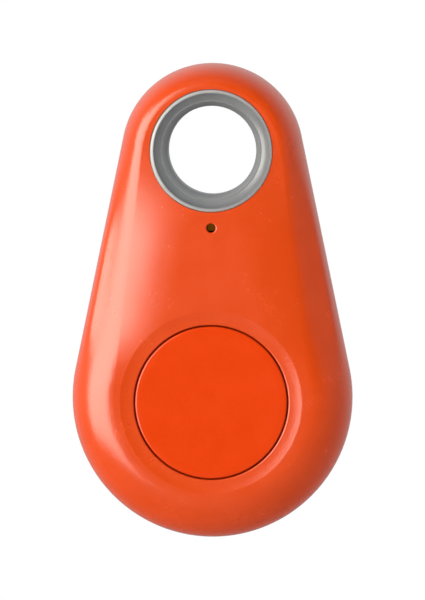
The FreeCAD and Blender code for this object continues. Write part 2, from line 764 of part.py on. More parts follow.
def make_contacts():
    """Sprung strips: a two-armed leaf under the cap, and an upright against the can."""
    def strip(name, wide, corners):
        body = sub_part("PartDesign::Body", name)
        sketch = new_sketch(body, f"{name}_edge", "side", f"-({wide}) / 2")
        contour(sketch, [(f"{BUTTON_Z} + {corner[0]}", corner[1]) for corner in corners])
        pad(body, sketch, wide)

    tip = "(-cell_level + leaf_gap)"
    under = "board_level - contact_thick"
    strip("negative_contact", "leaf_wide", [
        ("leaf_base", "board_level"),
        ("leaf_reach", f"{tip} + contact_thick"),
        ("leaf_reach", tip),
        ("leaf_base", under),
        ("-leaf_base", under),
        ("-leaf_reach", tip),
        ("-leaf_reach", f"{tip} + contact_thick"),
        ("-leaf_base", "board_level"),
    ])
    near = "(cell_radius + contact_gap)"
    strip("positive_contact", "contact_wide", [
        (near, "board_level"),
        (near, "board_level - contact_rise"),
        (f"{near} + contact_thick", "board_level - contact_rise"),
        (f"{near} + contact_thick", under),
        (f"{near} + contact_foot", under),
        (f"{near} + contact_foot", "board_level"),
    ])


def make_switch():
    """Push switch: base with a well, metal plate, snap dome, plunger and four legs."""
    base = sub_part("PartDesign::Body", "switch_base")
    outline = new_sketch(base, "switch_outline", "front", BOARD_FRONT)
    window(outline, "0", BUTTON_Z, "switch_side", "switch_side")
    pad(base, outline, "switch_base_thick")
    well = new_sketch(base, "switch_well_round", "front", SWITCH_TOP)
    ring(well, "0", BUTTON_Z, "switch_well")
    cut(base, well, "switch_base_thick - switch_floor")
    plate = sub_part("PartDesign::Body", "switch_plate_cover")
    cover = new_sketch(plate, "switch_cover", "front", SWITCH_TOP)
    window(cover, "0", BUTTON_Z, "switch_side", "switch_side")
    ring(cover, "0", BUTTON_Z, "plunger_radius + slide_gap")
    pad(plate, cover, "switch_plate")
    foot = f"({SWITCH_TOP} - slide_gap - plunger_foot_thick)"
    turned("switch_plunger", BUTTON_Z, [
        ("0", foot),
        ("plunger_radius + plunger_foot", foot),
        ("plunger_radius + plunger_foot", f"{foot} + plunger_foot_thick"),
        ("plunger_radius", f"{foot} + plunger_foot_thick"),
        ("plunger_radius", PLUNGER_TOP),
        ("0", PLUNGER_TOP),
    ])
    crest = f"({foot} - leaf_gap)"
    bow = dome_sag("dome_rise", "dome_radius")
    turned("switch_dome", BUTTON_Z, [
        ("0", f"{crest} - dome_thick"),
        ("dome_radius", f"{crest} - dome_thick - dome_rise", bow),
        ("dome_radius", f"{crest} - dome_rise"),
        ("0", crest, f"-{bow}"),
    ])
    legs = []
    for across in ("", "-"):
        for up in ("", "-"):
            legs.append(block(
                f"switch_leg_{len(legs) + 1}", f"{across}(switch_side + leg_long) / 2",
                f"{BUTTON_Z} + {up}(switch_side - leg_wide) / 2", BOARD_FRONT,
                "leg_long", "leg_wide", "leg_thick"))
    group("switch_legs", legs)


make_front_shell()
make_back_shell()
make_eyelet("eyelet_ring_front", "", "(front_depth + eyelet_proud)")
make_eyelet("eyelet_ring_back", "-", "(back_depth - eyelet_sunk)")
make_button_cap()
make_board()
make_antenna()
make_chips()
make_light()
make_sounder()
make_switch()
make_screws()
make_cell_holder()
make_contacts()
make_cell()
keep(rod("foam_pad", "0", BUTTON_Z, f"-{BACK_INSIDE}", "pad_radius", "pad_thick"))

doc.recompute()
for thing in doc.Objects:
    if "Invalid" in thing.State or "Error" in thing.State:
        raise RuntimeError(f"{thing.Name} failed: {thing.State}")
os.makedirs("parts", exist_ok=True)
for piece in pieces:
    if piece.Shape.isNull() or not piece.Shape.isValid():
        raise RuntimeError(f"{piece.Label} has no valid shape")
    piece.Shape.exportStep(f"parts/{piece.Label}.step")
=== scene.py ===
from math import asin, cos, pi, radians, sin

import bmesh
import bpy
from mathutils import Matrix, Vector
from mathutils.bvhtree import BVHTree
from mathutils.geometry import barycentric_transform


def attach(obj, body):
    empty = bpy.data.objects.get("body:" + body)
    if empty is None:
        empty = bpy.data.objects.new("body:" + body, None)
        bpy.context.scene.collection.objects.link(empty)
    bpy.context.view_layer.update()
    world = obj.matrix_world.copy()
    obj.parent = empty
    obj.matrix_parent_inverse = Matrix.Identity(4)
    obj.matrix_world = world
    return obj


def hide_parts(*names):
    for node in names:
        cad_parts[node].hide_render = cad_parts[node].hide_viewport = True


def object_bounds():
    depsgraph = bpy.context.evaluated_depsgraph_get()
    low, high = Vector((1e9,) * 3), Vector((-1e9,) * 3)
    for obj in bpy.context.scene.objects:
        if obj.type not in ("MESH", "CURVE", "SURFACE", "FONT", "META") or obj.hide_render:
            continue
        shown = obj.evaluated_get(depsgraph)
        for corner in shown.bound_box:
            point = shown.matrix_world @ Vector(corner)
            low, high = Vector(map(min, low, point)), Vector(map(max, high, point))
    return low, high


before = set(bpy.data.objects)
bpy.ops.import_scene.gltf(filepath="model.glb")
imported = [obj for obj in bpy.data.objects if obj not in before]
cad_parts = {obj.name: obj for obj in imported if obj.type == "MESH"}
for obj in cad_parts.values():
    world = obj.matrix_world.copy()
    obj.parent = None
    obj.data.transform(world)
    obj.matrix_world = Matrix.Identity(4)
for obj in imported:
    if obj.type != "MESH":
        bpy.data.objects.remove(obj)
cad_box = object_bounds()

# The studio. The tag hangs upright in front of a white surround, seen by a long lens from a
# little to its right and a little above. One broad warm light stands at the left. A weak one
# overhead and one at the right only fill, and don't show in the tag's gloss.
low, high = Vector(cad_box[0]), Vector(cad_box[1])
tag_middle = (low + high) / 2

view_distance = 1.2
view_side = radians(2.0)
view_rise = radians(2.3)
view_tall = 0.06637
sensor = 36.0


def around(azimuth, elevation, distance):
    """A point round the tag: azimuth 0 is in front of it, 90 at its right."""
    out = Vector((sin(azimuth) * cos(elevation), -cos(azimuth) * cos(elevation), sin(elevation)))
    return tag_middle + out * distance


def aim(thing, target):
    """Turn a lamp or the camera to look at a point."""
    thing.rotation_euler = (target - thing.location).to_track_quat("-Z", "Y").to_euler()


camera = bpy.data.objects.new("camera", bpy.data.cameras.new("camera"))
camera.location = around(view_side, view_rise, view_distance)
aim(camera, tag_middle)
camera.data.sensor_width = sensor
camera.data.lens = sensor * view_distance / view_tall
camera.data.clip_start = 0.01
camera.data.clip_end = 20
bpy.context.scene.collection.objects.link(camera)
bpy.context.scene.camera = camera
bpy.context.scene.view_settings.view_transform = "Standard"


def softbox(name, azimuth, elevation, distance, wide, tall, watts, colour, mirrored=True):
    """A rectangular soft light aimed at the tag."""
    lamp = bpy.data.lights.new(name, "AREA")
    lamp.shape = "RECTANGLE"
    lamp.size = wide
    lamp.size_y = tall
    lamp.energy = watts
    lamp.color = colour
    holder = bpy.data.objects.new(name, lamp)
    holder.location = around(radians(azimuth), radians(elevation), distance)
    aim(holder, tag_middle)
    holder.visible_glossy = mirrored
    bpy.context.scene.collection.objects.link(holder)


softbox("key_light", -49, 5, 0.5, 0.6, 0.5, 5.8, (1.0, 0.96, 0.87))
softbox("top_light", 0, 60, 0.5, 0.4, 0.25, 1.0, (1.0, 1.0, 1.0), mirrored=False)
softbox("fill_light", 65, 0, 0.5, 0.3, 0.5, 1.0, (1.0, 0.97, 0.92), mirrored=False)

# The surround: white where the camera sees it. What lights the tag is dark in front, bright at
# the back, and darker below than above.
surround = bpy.data.worlds.new("surround")
surround.use_nodes = True
bpy.context.scene.world = surround
sky = surround.node_tree
sky.nodes.clear()


def sky_ramp(axis, start, end, dim, bright):
    """Brightness that rises along one axis of the sky's direction."""
    ramp = sky.nodes.new("ShaderNodeMapRange")
    sky.links.new(sky_axes.outputs[axis], ramp.inputs["Value"])
    for name, value in (("From Min", start), ("From Max", end), ("To Min", dim), ("To Max", bright)):
        ramp.inputs[name].default_value = value
    return ramp.outputs["Result"]


direction = sky.nodes.new("ShaderNodeTexCoord")
sky_axes = sky.nodes.new("ShaderNodeSeparateXYZ")
sky.links.new(direction.outputs["Generated"], sky_axes.inputs["Vector"])
brightness = sky.nodes.new("ShaderNodeMath")
brightness.operation = "MULTIPLY"
sky.links.new(sky_ramp("Y", -0.4, 0.6, 0.05, 0.8), brightness.inputs[0])
sky.links.new(sky_ramp("Z", -0.8, 0.4, 0.25, 1.0), brightness.inputs[1])
seen = sky.nodes.new("ShaderNodeBackground")
seen.inputs["Strength"].default_value = 1.0
lit = sky.nodes.new("ShaderNodeBackground")
for light in (seen, lit):
    light.inputs["Color"].default_value = (1, 1, 1, 1)
sky.links.new(brightness.outputs["Value"], lit.inputs["Strength"])
path = sky.nodes.new("ShaderNodeLightPath")
either = sky.nodes.new("ShaderNodeMixShader")
sky.links.new(path.outputs["Is Camera Ray"], either.inputs["Fac"])
sky.links.new(lit.outputs["Background"], either.inputs[1])
sky.links.new(seen.outputs["Background"], either.inputs[2])
sky.links.new(either.outputs["Shader"], sky.nodes.new("ShaderNodeOutputWorld").inputs["Surface"])

# a pale floor under the tag, which doesn't show in its gloss either
floor_drop = 0.06
floor_half = 0.6
bpy.ops.mesh.primitive_plane_add(size=2 * floor_half)
floor = bpy.context.object
floor.name = "floor"
for corner in floor.data.vertices:
    corner.co.z = low.z - floor_drop
floor_paint = bpy.data.materials.new("floor_paint")
floor_paint.use_nodes = True
floor_shader = floor_paint.node_tree.nodes["Principled BSDF"]
floor_shader.inputs["Base Color"].default_value = (0.86, 0.86, 0.86, 1)
floor_shader.inputs["Roughness"].default_value = 0.8
floor.data.materials.append(floor_paint)
floor.visible_glossy = False


# The shells: two halves moulded in orange plastic from a finely spark-eroded tool. They part on
# the tag's middle plane. The back one is gripped by its tongue, and the front one's face falls
# away to the sides of the neck in a shallow arch, with a dish round the button.
def new_effect(name, inputs, outputs):
    """An empty node group that materials share, with its named sockets."""
    effect = bpy.data.node_groups.new(name, "ShaderNodeTree")
    for label, kind in inputs:
        effect.interface.new_socket(label, in_out="INPUT", socket_type=kind)
    for label, kind in outputs:
        effect.interface.new_socket(label, in_out="OUTPUT", socket_type=kind)
    return effect, effect.nodes.new("NodeGroupInput"), effect.nodes.new("NodeGroupOutput")


def noise(tree, position, scale, detail):
    """A noise texture at a point, whose scale is a socket or a number."""
    texture = tree.nodes.new("ShaderNodeTexNoise")
    texture.inputs["Detail"].default_value = detail
    texture.inputs["Roughness"].default_value = 0.6
    tree.links.new(position, texture.inputs["Vector"])
    if isinstance(scale, (int, float)):
        texture.inputs["Scale"].default_value = scale
    else:
        tree.links.new(scale, texture.inputs["Scale"])
    return texture.outputs["Fac"]


def spread(tree, value, from_low, from_high, to_low, to_high):
    """Map one range of numbers on another, clamped at its ends."""
    ramp = tree.nodes.new("ShaderNodeMapRange")
    tree.links.new(value, ramp.inputs["Value"])
    numbers = (("From Min", from_low), ("From Max", from_high), ("To Min", to_low), ("To Max", to_high))
    for name, number in numbers:
        ramp.inputs[name].default_value = number
    return ramp.outputs["Result"]


def blend_values(tree, operation, first, second):
    """One sum or product of two sockets."""
    node = tree.nodes.new("ShaderNodeMath")
    node.operation = operation
    for place, value in enumerate((first, second)):
        if isinstance(value, (int, float)):
            node.inputs[place].default_value = value
        else:
            tree.links.new(value, node.inputs[place])
    return node.outputs["Value"]


NUMBER, PLACE = "NodeSocketFloat", "NodeSocketVector"

# spark grain: tight pits, and a slow mottle in the colour
spark_grain, entry, result = new_effect(
    "spark_grain", [("Position", PLACE), ("Pits", NUMBER), ("Mottle", NUMBER)],
    [("Height", NUMBER), ("Shade", NUMBER)])
pits = noise(spark_grain, entry.outputs["Position"], entry.outputs["Pits"], 2)
mottle = noise(spark_grain, entry.outputs["Position"], entry.outputs["Mottle"], 4)
spark_grain.links.new(spread(spark_grain, pits, 0.3, 0.7, 0, 1), result.inputs["Height"])
both = blend_values(
    spark_grain, "ADD", spread(spark_grain, pits, 0.3, 0.7, 0, 0.4),
    spread(spark_grain, mottle, 0.35, 0.65, 0, 0.6))
spark_grain.links.new(both, result.inputs["Shade"])

# handling: a soft smear where fingers and pockets have polished or dulled the surface
handling, entry, result = new_effect(
    "handling", [("Position", PLACE), ("Spread", NUMBER)], [("Smear", NUMBER)])
smears = noise(handling, entry.outputs["Position"], entry.outputs["Spread"], 5)
handling.links.new(spread(handling, smears, 0.35, 0.68, 0, 1), result.inputs["Smear"])


def placed(tree, effect, position, **numbers):
    """Put a shared effect in a material, with its own numbers."""
    node = tree.nodes.new("ShaderNodeGroup")
    node.node_tree = effect
    tree.links.new(position, node.inputs["Position"])
    for name, number in numbers.items():
        node.inputs[name].default_value = number
    return node.outputs


def finish(
        name, deep, pale, gloss, pits, depth, mottle=400, metal=0.0, stretch=(1, 1, 1), turn=(0, 0, 0)):
    """A material: two tones through the grain, smeared gloss from low to high, and fine relief."""
    material = bpy.data.materials.new(name)
    material.use_nodes = True
    tree = material.node_tree
    shader = tree.nodes["Principled BSDF"]
    shader.inputs["Metallic"].default_value = metal
    mapping = tree.nodes.new("ShaderNodeMapping")
    mapping.name = "grain place"
    mapping.inputs["Scale"].default_value = stretch
    mapping.inputs["Rotation"].default_value = turn
    tree.links.new(tree.nodes.new("ShaderNodeTexCoord").outputs["Object"], mapping.inputs["Vector"])
    position = mapping.outputs["Vector"]
    grain = placed(tree, spark_grain, position, Pits=pits, Mottle=mottle)
    tone = tree.nodes.new("ShaderNodeMix")
    tone.name = "tone"
    tone.data_type = "RGBA"
    tone.inputs["A"].default_value = (*deep, 1)
    tone.inputs["B"].default_value = (*pale, 1)
    tree.links.new(grain["Shade"], tone.inputs["Factor"])
    tree.links.new(tone.outputs["Result"], shader.inputs["Base Color"])
    smear = placed(tree, handling, position, Spread=mottle)["Smear"]
    tree.links.new(spread(tree, smear, 0, 1, *gloss), shader.inputs["Roughness"])
    bump = tree.nodes.new("ShaderNodeBump")
    bump.inputs["Strength"].default_value = 0.5
    bump.inputs["Distance"].default_value = depth
    tree.links.new(grain["Height"], bump.inputs["Height"])
    tree.links.new(bump.outputs["Normal"], shader.inputs["Normal"])
    return material, shader


def dress(material, *nodes):
    """Give CAD nodes their material."""
    for node in nodes:
        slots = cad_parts[node].data.materials
        slots.clear()
        slots.append(material)


def new_piece(name, shape, materials, body, slot, *stands_for):
    """Make a finished piece from a bmesh, riding on its body."""
    mesh = bpy.data.meshes.new(name)
    shape.to_mesh(mesh)
    shape.free()
    for material in materials:
        mesh.materials.append(material)
    piece = bpy.data.objects.new(name, mesh)
    bpy.context.scene.collection.objects.link(piece)
    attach(piece, body)
    if stands_for:
        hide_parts(*stands_for)
    return piece


mm = 0.001
orange, orange_shader = finish(
    "orange_moulding", (0.52, 0.043, 0.0003), (0.56, 0.048, 0.0006), (0.24, 0.28), 5600, 0.000010, 300)
orange_shader.inputs["Specular IOR Level"].default_value = 0.8
dress(orange, "back_shell", "front_shell")

crown_radius, belly_radius = 10.05, 15.5
crown_up, arc_spacing = -0.45, 26.9
arch_reach, arch_fall = 9.5, 0.035
face_level, arch_floor = 5.2, 2.2
arch_top_start, arch_top_full = 3.0, -11.0
arch_foot_start, arch_foot_full = -27.0, -18.0
neck_lean = asin((belly_radius - crown_radius) / arc_spacing)


def eased(value, start, end):
    """Rise smoothly from 0 at the start to 1 at the end."""
    share = min(max((value - start) / (end - start), 0.0), 1.0)
    return share * share * (3 - 2 * share)


def neck_fall(x, z):
    """How far the front face falls away at a place on the neck, in millimetres."""
    half_width = (crown_radius + (crown_up - z) * sin(neck_lean)) / cos(neck_lean)
    reach = max(arch_reach - (half_width - abs(x)), 0.0)
    ends = eased(z, arch_top_start, arch_top_full) * eased(z, arch_foot_start, arch_foot_full)
    return arch_fall / 2 * reach ** 2 * ends


def arch_shift(x, y, z):
    """How far a point of the front shell moves back, in metres."""
    return neck_fall(x / mm, z / mm) * eased(-y / mm, arch_floor, face_level) * mm


# the moulded skin keeps every hole, post and fillet of the shell, and only its neck is arched
plain_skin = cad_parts["front_shell"].data
corner_normals = [Vector(corner.vector) for corner in plain_skin.corner_normals]
plain_corners = [vertex.co.copy() for vertex in plain_skin.vertices]
plain_faces = [tuple(face.vertices) for face in plain_skin.polygons]
plain_loops = [tuple(face.loop_indices) for face in plain_skin.polygons]
plain_tree = BVHTree.FromPolygons(plain_corners, plain_faces)

skin = bmesh.new()
skin.from_mesh(plain_skin)
bmesh.ops.remove_doubles(skin, verts=skin.verts, dist=0.0000001)


def slice_neck(along, first, last, step):
    """Cut the neck's front skin finely by planes, so that it can bend."""
    direction = Vector((1, 0, 0) if along == "x" else (0, 0, 1))
    count = round((last - first) / step)
    for number in range(count + 1):
        faces = [
            face for face in skin.faces
            if max(corner.co.y for corner in face.verts) < -arch_floor * mm
            and min(corner.co.z for corner in face.verts) < arch_top_start * mm
            and max(corner.co.z for corner in face.verts) > arch_foot_start * mm
        ]
        edges = {edge for face in faces for edge in face.edges}
        corners = {corner for face in faces for corner in face.verts}
        bmesh.ops.bisect_plane(
            skin, geom=[*corners, *edges, *faces], dist=0.0000001,
            plane_co=direction * (first + number * step) * mm, plane_no=direction)


neck_side, across_step = 14.75, 0.5
neck_foot, neck_head, up_step = -26.8, 2.6, 0.6
slice_neck("x", -neck_side, neck_side, across_step)
slice_neck("z", neck_foot, neck_head, up_step)
bmesh.ops.triangulate(skin, faces=skin.faces)
skin.verts.ensure_lookup_table()
plain_places = [corner.co.copy() for corner in skin.verts]
for corner in skin.verts:
    corner.co.y += arch_shift(*corner.co)
front_skin = new_piece("front_shell_skin", skin, [orange], "casing", "shell_plastic", "front_shell")

look_in = 0.02
probe = 0.00005
arched_normals = []
for face in front_skin.data.polygons:
    places = [plain_places[number] for number in face.vertices]
    centre = sum(places, Vector()) / len(places)
    for place in places:
        inside = place.lerp(centre, look_in)
        spot, _, found, _ = plain_tree.find_nearest(inside)
        corners = [plain_corners[number] for number in plain_faces[found]]
        normals = [corner_normals[number] for number in plain_loops[found]]
        normal = barycentric_transform(spot, *corners, *normals)
        x, y, z = place
        lean_x = (arch_shift(x + probe, y, z) - arch_shift(x - probe, y, z)) / (2 * probe)
        lean_y = (arch_shift(x, y + probe, z) - arch_shift(x, y - probe, z)) / (2 * probe)
        lean_z = (arch_shift(x, y, z + probe) - arch_shift(x, y, z - probe)) / (2 * probe)
        normal.y /= 1 + lean_y
        normal.x -= lean_x * normal.y
        normal.z -= lean_z * normal.y
        arched_normals.append(normal.normalized())
front_skin.data.shade_smooth()
front_skin.data.normals_split_custom_set(arched_normals)


# The eyelet: two rings moulded in satin grey plastic, pressed in from the front and the back.
grey, grey_shader = finish(
    "eyelet_grey", (0.145, 0.15, 0.16), (0.17, 0.176, 0.187), (0.36, 0.42), 5200, 0.000004, 400)
grey_shader.inputs["Specular IOR Level"].default_value = 1.0
# a paler band painted on the lip's outer edge: a painted highlight where light catches that rim
rim_highlight_start, rim_highlight_full = 0.00635, 0.0066
grey_tree = grey.node_tree
flattened = grey_tree.nodes.new("ShaderNodeVectorMath")
flattened.operation = "MULTIPLY"
flattened.inputs[1].default_value = (1, 0, 1)
grey_tree.links.new(grey_tree.nodes["grain place"].outputs["Vector"], flattened.inputs[0])
from_axis = grey_tree.nodes.new("ShaderNodeVectorMath")
from_axis.operation = "LENGTH"
grey_tree.links.new(flattened.outputs["Vector"], from_axis.inputs[0])
# painted highlight: paler grey mixed in towards the lip's outer edge
painted_rim_highlight = grey_tree.nodes.new("ShaderNodeMix")
painted_rim_highlight.data_type = "RGBA"
painted_rim_highlight.inputs["B"].default_value = (0.34, 0.345, 0.35, 1)
grey_tree.links.new(
    spread(grey_tree, from_axis.outputs["Value"], rim_highlight_start, rim_highlight_full, 0, 1), painted_rim_highlight.inputs["Factor"])
grey_tree.links.new(grey_tree.nodes["tone"].outputs["Result"], painted_rim_highlight.inputs["A"])
grey_tree.links.new(painted_rim_highlight.outputs["Result"], grey_shader.inputs["Base Color"])
dress(grey, "eyelet_ring_front", "eyelet_ring_back")


# The button: a cap moulded in the same orange, with a faintly hollow face and a small round at
# its rim. A flange keeps it in the shell, and a stem under it reaches the switch.
def spun(height, profile, turns=128):
    """Turn a profile of radii and levels, in millimetres, about a level axis at that height."""
    shape = bmesh.new()
    corners = [shape.verts.new((radius * mm, -level * mm, height * mm)) for radius, level in profile]
    edges = [shape.edges.new(pair) for pair in zip(corners, corners[1:])]
    bmesh.ops.spin(
        shape, geom=[*corners, *edges], cent=(0, 0, height * mm), axis=(0, 1, 0),
        angle=2 * pi, steps=turns, use_merge=True)
    bmesh.ops.remove_doubles(shape, verts=shape.verts, dist=0.0000005)
    bmesh.ops.recalc_face_normals(shape, faces=shape.faces)
    return shape


def smooth(piece, angle=30):
    """Shade round surfaces smoothly and keep the real edges sharp."""
    piece.data.shade_smooth()
    piece.data.set_sharp_from_angle(angle=radians(angle))


button_up = -27.75
cap_radius, cap_level, cap_hollow, cap_round = 8.38, 5.04, 0.12, 0.2
flange_out, skirt_in = 9.18, 7.28
flange_low, flange_high, web_level = 3.42, 3.92, 4.04
stem_radius, stem_level = 1.2, 2.74
face_steps, round_steps = 12, 6
cap_profile = [(0, stem_level), (stem_radius, stem_level), (stem_radius, web_level)]
cap_profile += [(skirt_in, web_level), (skirt_in, flange_low), (flange_out, flange_low)]
cap_profile += [(flange_out, flange_high), (cap_radius, flange_high)]
for step in range(round_steps + 1):
    angle = pi / 2 * step / round_steps
    cap_profile.append((
        cap_radius - cap_round + cap_round * cos(angle),
        cap_level - cap_round + cap_round * sin(angle)))
face_radius = cap_radius - cap_round
for step in range(1, face_steps + 1):
    radius = face_radius * (1 - step / face_steps)
    cap_profile.append((radius, cap_level - cap_hollow * (1 - (radius / face_radius) ** 2)))
button_orange, button_shader = finish(
    "orange_button", (0.53, 0.034, 0.0001), (0.57, 0.039, 0.0003), (0.17, 0.21), 4400, 0.000005, 400)
button_shader.inputs["Specular IOR Level"].default_value = 0.5
cap = new_piece(
    "button_cap_turned", spun(button_up, cap_profile), [button_orange],
    "button", "button_plastic", "button_cap")
smooth(cap)


# The circuit board: glass laminate under green solder mask, with copper under it that shows as
# faint paler tracks. Tinned test pads and screw lands are on its back.
mask_green, mask_shader = finish(
    "green_solder_mask", (0.004, 0.06, 0.022), (0.012, 0.11, 0.04), (0.22, 0.34), 5000, 0.000003, 260)
mask_tree = mask_green.node_tree
tracks = mask_tree.nodes.new("ShaderNodeTexBrick")
tracks.inputs["Scale"].default_value = 1
tracks.inputs["Mortar Size"].default_value = 0.00011
tracks.inputs["Mortar Smooth"].default_value = 0.2
tracks.inputs["Brick Width"].default_value = 0.0031
tracks.inputs["Row Height"].default_value = 0.00085
flat_board = mask_tree.nodes.new("ShaderNodeMapping")
flat_board.inputs["Rotation"].default_value = (radians(90), 0, 0)
mask_tree.links.new(mask_tree.nodes["grain place"].outputs["Vector"], flat_board.inputs["Vector"])
mask_tree.links.new(flat_board.outputs["Vector"], tracks.inputs["Vector"])
over_copper = mask_tree.nodes.new("ShaderNodeMix")
over_copper.data_type = "RGBA"
over_copper.inputs["B"].default_value = (0.02, 0.19, 0.06, 1)
mask_tree.links.new(tracks.outputs["Fac"], over_copper.inputs["Factor"])
mask_tree.links.new(mask_tree.nodes["tone"].outputs["Result"], over_copper.inputs["A"])
mask_tree.links.new(over_copper.outputs["Result"], mask_shader.inputs["Base Color"])
dress(mask_green, "main_board")

tin, _ = finish(
    "dull_tin", (0.50, 0.50, 0.49), (0.66, 0.66, 0.65), (0.28, 0.5), 5200, 0.000004, 1500, metal=1.0)
copper, _ = finish(
    "antenna_copper", (0.62, 0.29, 0.13), (0.80, 0.44, 0.24), (0.22, 0.45), 5200, 0.000003, 900, metal=1.0)
dress(copper, "board_antenna")
dress(tin, "radio_pads", "switch_legs")

board_back, pad_thick = 0.3, 0.03
land_inner, land_outer = 0.62, 1.45
test_pad_radius, test_pad_turns = 0.45, 32
test_pad_columns, test_pad_rows = (-2.4, -0.8, 0.8, 2.4), (-10.6, -12.2)
pad_edge = 0.01
screw_places = ((8.0, -13.5), (-8.0, -13.5))


def join(*shapes):
    """Put several shapes into the first one."""
    whole = shapes[0]
    for shape in shapes[1:]:
        part = bpy.data.meshes.new("part")
        shape.to_mesh(part)
        shape.free()
        whole.from_mesh(part)
        bpy.data.meshes.remove(part)
    return whole


def moved(shape, across, up=0.0, level=0.0):
    """Shift a shape by millimetres."""
    bmesh.ops.translate(shape, verts=shape.verts, vec=Vector((across, -level, up)) * mm)
    return shape


def solid_ring(inner, outer, level_low, level_high, edge, turns=48):
    """A flat ring or disc about the origin, its outer edges eased."""
    profile = [
        (inner, level_low), (outer - edge, level_low), (outer, level_low + edge),
        (outer, level_high - edge), (outer - edge, level_high), (inner, level_high),
    ]
    if inner:
        profile.append((inner, level_low))
    return spun(0, profile, turns)


lands = [
    moved(solid_ring(land_inner, land_outer, board_back - pad_thick, board_back, pad_edge), *place)
    for place in screw_places
]
for across in test_pad_columns:
    for up in test_pad_rows:
        pad = solid_ring(
            0, test_pad_radius, board_back - pad_thick, board_back, pad_edge, test_pad_turns)
        lands.append(moved(pad, across, up))
smooth(new_piece("board_lands", join(*lands), [tin], "casing", "tin"))


# The chips: a leadless radio chip in moulded resin, two crystals in plated cans with a seam
# round the foot, and rows of fired ceramic capacitors and resistors with tinned ends.
same_level = 0.00001


def brick(across, up, level, wide, tall, thick, corner, rim, steps=3):
    """A block forward of a level, its upright edges rounded and its front rim eased."""
    shape = bmesh.new()
    size = Matrix.Diagonal((wide * mm, thick * mm, tall * mm, 1))
    place = Matrix.Translation(Vector((across, -(level + thick / 2), up)) * mm)
    bmesh.ops.create_cube(shape, size=1, matrix=place @ size)
    if corner:
        upright = [
            edge for edge in shape.edges
            if abs(edge.verts[0].co.y - edge.verts[1].co.y) > thick * mm / 2
        ]
        bmesh.ops.bevel(
            shape, geom=upright, offset=corner * mm, segments=steps, profile=0.5,
            affect="EDGES", material=-1)
    if rim:
        front = min(corner.co.y for corner in shape.verts)
        crest = [
            edge for edge in shape.edges if all(abs(end.co.y - front) < same_level for end in edge.verts)
        ]
        bmesh.ops.bevel(
            shape, geom=crest, offset=rim * mm, segments=steps, profile=0.5,
            affect="EDGES", material=-1)
    return shape


board_front = 1.1
chip_black, chip_shader = finish(
    "chip_resin", (0.012, 0.012, 0.014), (0.035, 0.035, 0.038), (0.45, 0.62), 5200, 0.000004, 1300)
chip_tree = chip_black.node_tree
first_pin_place = (-0.0074, -0.002, -0.02255)
pin_dot_full, pin_dot_edge = 0.00028, 0.00032
first_pin = chip_tree.nodes.new("ShaderNodeVectorMath")
first_pin.operation = "DISTANCE"
first_pin.inputs[1].default_value = first_pin_place
chip_tree.links.new(chip_tree.nodes["grain place"].outputs["Vector"], first_pin.inputs[0])
pin_dot = spread(chip_tree, first_pin.outputs["Value"], pin_dot_full, pin_dot_edge, 1, 0)
marked = chip_tree.nodes.new("ShaderNodeMix")
marked.data_type = "RGBA"
marked.inputs["B"].default_value = (0.09, 0.09, 0.09, 1)
chip_tree.links.new(pin_dot, marked.inputs["Factor"])
chip_tree.links.new(chip_tree.nodes["tone"].outputs["Result"], marked.inputs["A"])
chip_tree.links.new(marked.outputs["Result"], chip_shader.inputs["Base Color"])
smooth(new_piece(
    "radio_chip_body", brick(-5.6, -24.35, 1.15, 5, 5, 0.85, 0.06, 0.05), [chip_black],
    "casing", "chip_resin", "radio_chip"))

can_plate, _ = finish(
    "crystal_can", (0.55, 0.53, 0.48), (0.72, 0.70, 0.65), (0.2, 0.36), 4200, 0.000003, 800, metal=1.0,
    stretch=(1, 1, 6))
smooth(new_piece(
    "radio_crystal_can", join(
        brick(-5.6, -30.15, board_front, 3.2, 2.5, 0.18, 0.35, 0.03),
        brick(-5.6, -30.15, board_front + 0.18, 2.9, 2.2, 0.52, 0.35, 0.15)),
    [can_plate], "casing", "crystal_can", "radio_crystal"))
smooth(new_piece(
    "watch_crystal_can", join(
        brick(4.6, -24.15, board_front, 1.5, 3.2, 0.18, 0.2, 0.03),
        brick(4.6, -24.15, board_front + 0.18, 1.3, 3.0, 0.52, 0.2, 0.12)),
    [can_plate], "casing", "crystal_can", "watch_crystal"))

fired_tan, _ = finish(
    "capacitor_ceramic", (0.30, 0.18, 0.09), (0.42, 0.28, 0.16), (0.35, 0.55), 5200, 0.000004)
fired_black, _ = finish(
    "resistor_glaze", (0.012, 0.012, 0.014), (0.03, 0.03, 0.034), (0.2, 0.35), 5200, 0.000002)


def chip_row(name, across, up, count, material, node):
    """A row of small chips, each a body between two tinned end caps."""
    pitch, long, wide, thick, end = 1.3, 1.0, 0.5, 0.5, 0.22
    parts = []
    for place in range(count):
        middle = up + (place - (count - 1) / 2) * pitch
        body = brick(
            across, middle, board_front + 0.02, long - 2 * end, wide - 0.03, thick - 0.04, 0, 0.03)
        parts.append(body)
        for side in (-1, 1):
            cap_end = brick(
                across + side * (long - end) / 2, middle, board_front, end, wide, thick, 0.04, 0.04)
            for face in cap_end.faces:
                face.material_index = 1
            parts.append(cap_end)
    smooth(new_piece(name, join(*parts), [material, tin], "casing", "capacitor_ceramic", node))


chip_row("capacitor_row", 0.6, -21.35, 3, fired_tan, "chip_capacitors")
chip_row("resistor_row", 4.6, -30.15, 4, fired_black, "chip_resistors")


# The status light: a white ceramic base and a clear tinted lens, behind the hole in the face.
light_up = -8.51
white_base, _ = finish(
    "light_base_white", (0.74, 0.72, 0.66), (0.84, 0.83, 0.78), (0.3, 0.45), 5200, 0.000003)
dress(white_base, "light_base")
lens_amber, lens_shader = finish(
    "light_lens_resin", (0.80, 0.36, 0.06), (0.88, 0.48, 0.12), (0.05, 0.14), 5200, 0.000001)
lens_shader.inputs["Coat Weight"].default_value = 0.6
